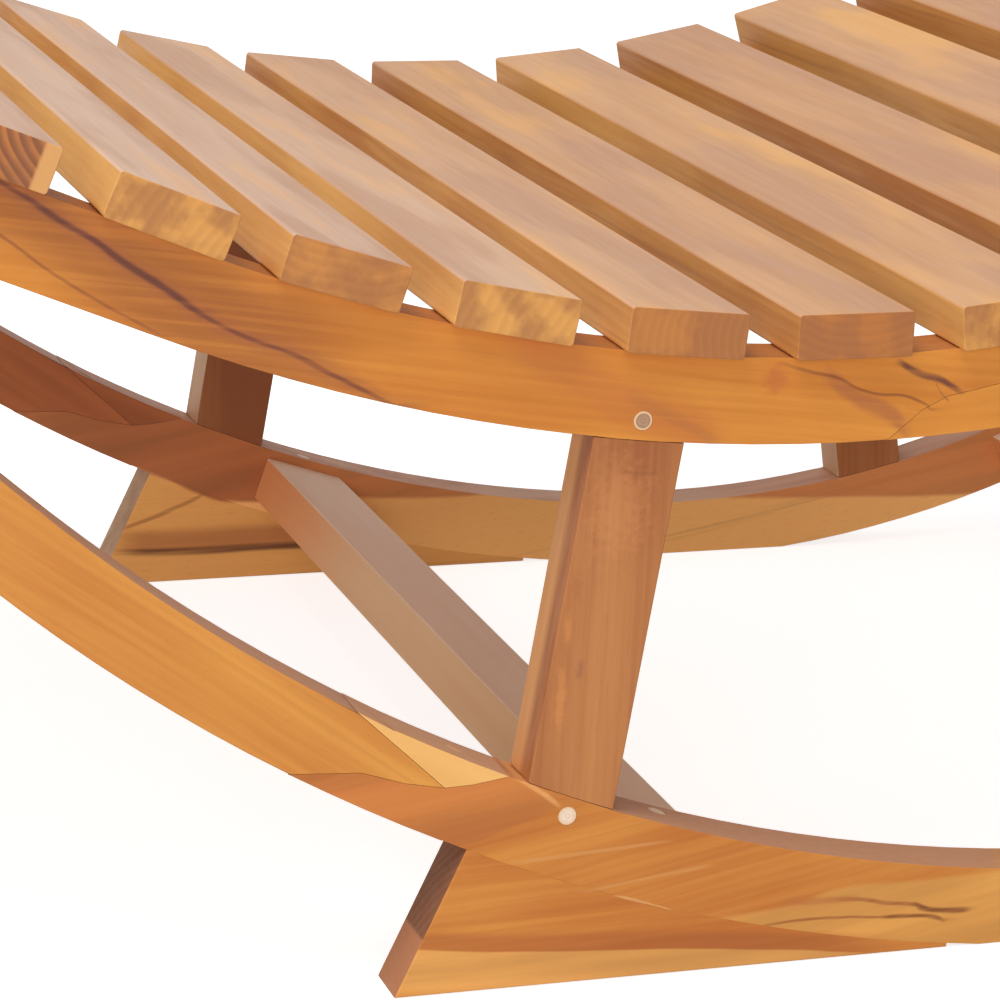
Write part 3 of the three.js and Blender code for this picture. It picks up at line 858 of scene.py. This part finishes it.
# The near rocker's foot length is redder above one edge at its head end, and golden under another
FOOT_MARKS = (
    band(HEART_EDGE, -60 * MM, linear(204, 122, 62), 0.7, edge=1.2 * MM),
    band(GOLD_EDGE, 60 * MM, linear(234, 170, 88), 0.7, edge=1.5 * MM),
    streak(GOLD_LINES[0], 1.6 * MM, linear(150, 86, 40), 0.8),
    streak(GOLD_LINES[0][3:], 2.6 * MM, linear(120, 66, 30), 0.7),
    streak(GOLD_LINES[1], 2.4 * MM, linear(150, 86, 42), 0.8),
    streak(GOLD_LINES[1][3:], 3.4 * MM, linear(112, 60, 28), 0.7),
    streak(GOLD_LINES[2], 4 * MM, linear(180, 108, 54), 0.6),
    *ROCKER_MARKS,
)

KEY_MARKS = (
    spot(-0.1337, NEAR_MIDDLE, 0.1089, 5 * MM, PALE, 0.85, stretch=(0.8, 1.2, 1.0)),
    spot(-0.1595, NEAR_MIDDLE, 0.1243, 5 * MM, PALE, 0.7, stretch=(0.8, 1.2, 1.0)),
)

POST_MARKS = (
    spot(-0.07, NEAR_FACE, 0.214, 18 * MM, linear(222, 150, 92), 0.3, stretch=(1.0, 1.0, 0.6)),
    spot(-0.0871, NEAR_FACE, 0.181, 4.4 * MM, linear(160, 92, 52), 0.4, stretch=(1.4, 1.0, 0.4)),
    spot(-0.0905, NEAR_FACE, 0.1617, 3 * MM, linear(222, 146, 80), 0.35, stretch=(1.2, 1.0, 0.3)),
    spot(-0.0921, NEAR_FACE, 0.13, 4 * MM, linear(222, 146, 80), 0.42, stretch=(1.3, 1.0, 0.2)),
    streak(((-0.0682, 0.2304), (-0.061, 0.23), (-0.0537, 0.2296)), 2 * MM, linear(140, 82, 50), 0.5),
    spot(-0.0842, NEAR_FACE, 0.1437, 3.4 * MM, PURPLE, 0.45, stretch=(1.3, 1.0, 0.6)),
    face_tint("head_face", FAR, linear(232, 190, 150), 0.9, linear(206, 160, 120)),
    post_edge,
    stretcher_skin,
)


# A pin's speckle: lumps in a radius and detail. Its rings: how far the speckle bends them, how close they
# stand, the range of the wave that shows, and their share at the end of it
SPECKLE = (3.2, 3.0)
PIN_RING_BEND = 7.0
PIN_RING_TURN = 17.0
PIN_RINGS = (-0.6, 0.9, 0.0, 0.4)

# Where a pin's rim begins, as shares of its radius, and the tones of a pin
PIN_RIM = (0.7, 0.86)
PALE_CORES = (linear(238, 214, 190), linear(206, 176, 150))
DARK_CORES = (linear(176, 138, 108), linear(142, 106, 80))
RIM_TONE = linear(228, 192, 150)


def pin_wood():
    """A pin's end: rings about its middle, a paler rim, and a darker core in the rail's pins."""
    wood = Wood("pin_wood")
    reach = wood.attribute("reach", "Vector")
    away = wood.length(reach)
    speckle = wood.noise(reach, *SPECKLE)
    turning = wood.math("MULTIPLY_ADD", speckle, PIN_RING_BEND, wood.math("MULTIPLY", away, PIN_RING_TURN))
    rings = wood.ramp(wood.math("SINE", turning), *PIN_RINGS)
    core = wood.mix(wood.attribute("tone"), wood.mix(rings, *PALE_CORES), wood.mix(rings, *DARK_CORES))
    colour = wood.mix(wood.ramp(away, *PIN_RIM), core, RIM_TONE)
    roughness = wood.ramp(speckle, *MIDDLE_RANGE, *PIN_ROUGHNESS)
    return wood.finish(colour, roughness, speckle, PIN_RELIEF_STRENGTH)


def rocker_teak(name, marks):
    return teak(
        name, light=linear(222, 154, 70), dark=linear(184, 107, 44), end=linear(152, 92, 58), top=SHEEN_MAUVE,
        painted_top_share=0.85, marks=marks,
    )


def build_materials():
    """One material for each slot of the record, and one for a board with marks of its own."""
    return {
        "slat_teak": teak(
            "slat_teak", light=linear(238, 180, 102), dark=linear(192, 126, 66), end=linear(150, 98, 62),
            top=SHEEN_MAUVE, marks=(slat_top, slat_end),
        ),
        "rail_teak": teak(
            "rail_teak", light=linear(224, 150, 62), dark=linear(188, 108, 38), end=linear(156, 92, 52),
            # The rail's top tone is darker: painted shade of the slats over it
            top=linear(150, 92, 66), marks=RAIL_MARKS,
        ),
        "rocker_teak": rocker_teak("rocker_teak", ROCKER_MARKS),
        "right_rocker_foot": rocker_teak("rocker_foot_teak", FOOT_MARKS),
        "sapwood_teak": teak(
            "sapwood_teak", light=linear(238, 182, 108), dark=linear(220, 158, 86),
            end=linear(190, 126, 74), top=SHEEN_MAUVE, painted_top_share=0.8, marks=KEY_MARKS,
        ),
        "post_teak": teak(
            "post_teak", light=linear(197, 132, 77), dark=linear(156, 91, 50), end=linear(140, 84, 54),
            top=SHEEN_MAUVE, painted_top_share=0.85, marks=POST_MARKS,
        ),
        "pin_wood": pin_wood(),
    }


def dress_all(materials):
    for row in frame["record"]["subparts"]:
        dress = dress_pin if is_pin(row["node"]) else dress_board
        name = row["node"]
        slot = row["material_slot"]
        dress(name, materials.get(name, materials[slot]), slot)


# Floor, light and camera

FLOOR_HALF = 12
FLOOR_DROP = 0.5 * MM
FLOOR_PAINT = (0.6, 0.6, 0.6, 1)
FLOOR_ROUGHNESS = 0.9
FLOOR_GLOW = 0.78
WORLD_LIGHT = 0.42
WHITE = (1, 1, 1, 1)

# Name, place, the point it faces, side and power of each lamp
LAMPS = (
    ("key", (-1.5, -1.1, 3.5), (0, 0, 0.25), 2.0, 78),
    ("fill", (-1.4, -3.5, 0.85), (0, 0, 0.2), 1.7, 62),
)


def seen_as_white(tree, strength):
    """An added white that camera, mirror and glass rays get, and light on the object doesn't."""
    path = tree.nodes.new("ShaderNodeLightPath")
    seen = path.outputs["Is Camera Ray"]
    for ray in ("Is Glossy Ray", "Is Transmission Ray"):
        either = tree.nodes.new("ShaderNodeMath")
        either.operation = "MAXIMUM"
        tree.links.new(seen, either.inputs[0])
        tree.links.new(path.outputs[ray], either.inputs[1])
        seen = either.outputs[0]
    glow = tree.nodes.new("ShaderNodeMath")
    glow.operation = "MULTIPLY"
    glow.inputs[1].default_value = strength
    tree.links.new(seen, glow.inputs[0])
    return glow.outputs[0]


def add_floor():
    mesh = bmesh.new()
    bmesh.ops.create_grid(mesh, x_segments=1, y_segments=1, size=FLOOR_HALF)
    data = data_from(mesh, "floor")
    material = bpy.data.materials.new("floor_paint")
    material.use_nodes = True
    shader = material.node_tree.nodes["Principled BSDF"]
    shader.inputs["Base Color"].default_value = FLOOR_PAINT
    shader.inputs["Roughness"].default_value = FLOOR_ROUGHNESS
    shader.inputs["Specular IOR Level"].default_value = 0.0
    shader.inputs["Emission Color"].default_value = WHITE
    glow = seen_as_white(material.node_tree, FLOOR_GLOW)
    material.node_tree.links.new(glow, shader.inputs["Emission Strength"])
    data.materials.append(material)
    floor = bpy.data.objects.new("floor", data)
    floor.location.z = -FLOOR_DROP
    bpy.context.scene.collection.objects.link(floor)


def add_world():
    world = bpy.data.worlds.new("studio")
    world.use_nodes = True
    tree = world.node_tree
    background = tree.nodes["Background"]
    background.inputs["Color"].default_value = WHITE
    lift = tree.nodes.new("ShaderNodeMath")
    lift.operation = "ADD"
    lift.inputs[1].default_value = WORLD_LIGHT
    tree.links.new(seen_as_white(tree, 1 - WORLD_LIGHT), lift.inputs[0])
    tree.links.new(lift.outputs[0], background.inputs["Strength"])
    bpy.context.scene.world = world


def add_lamp(name, place, goal, size, power):
    data = bpy.data.lights.new(name, "AREA")
    data.shape = "SQUARE"
    data.size = size
    data.energy = power
    lamp = bpy.data.objects.new(name, data)
    lamp.location = place
    lamp.rotation_euler = (Vector(goal) - Vector(place)).to_track_quat("-Z", "Y").to_euler()
    bpy.context.scene.collection.objects.link(lamp)


def add_camera():
    forward = Vector((
        math.sin(CAMERA_YAW) * math.cos(CAMERA_PITCH),
        math.cos(CAMERA_YAW) * math.cos(CAMERA_PITCH),
        -math.sin(CAMERA_PITCH),
    ))
    level = Vector((math.cos(CAMERA_YAW), -math.sin(CAMERA_YAW), 0))
    down = forward.cross(level)
    right = level * math.cos(CAMERA_ROLL) + down * math.sin(CAMERA_ROLL)
    below = down * math.cos(CAMERA_ROLL) - level * math.sin(CAMERA_ROLL)
    data = bpy.data.cameras.new("camera")
    data.sensor_width = SENSOR_WIDTH
    data.lens = SENSOR_WIDTH * FOCAL_PIXELS / IMAGE_SIZE
    camera = bpy.data.objects.new("camera", data)
    turn = Matrix((right, -below, -forward)).transposed().to_4x4()
    camera.matrix_world = Matrix.Translation(CAMERA_PLACE) @ turn
    bpy.context.scene.collection.objects.link(camera)
    bpy.context.scene.camera = camera


dress_all(build_materials())
add_floor()
add_world()
for lamp in LAMPS:
    add_lamp(*lamp)
add_camera()
bpy.context.scene.view_settings.view_transform = "Standard"
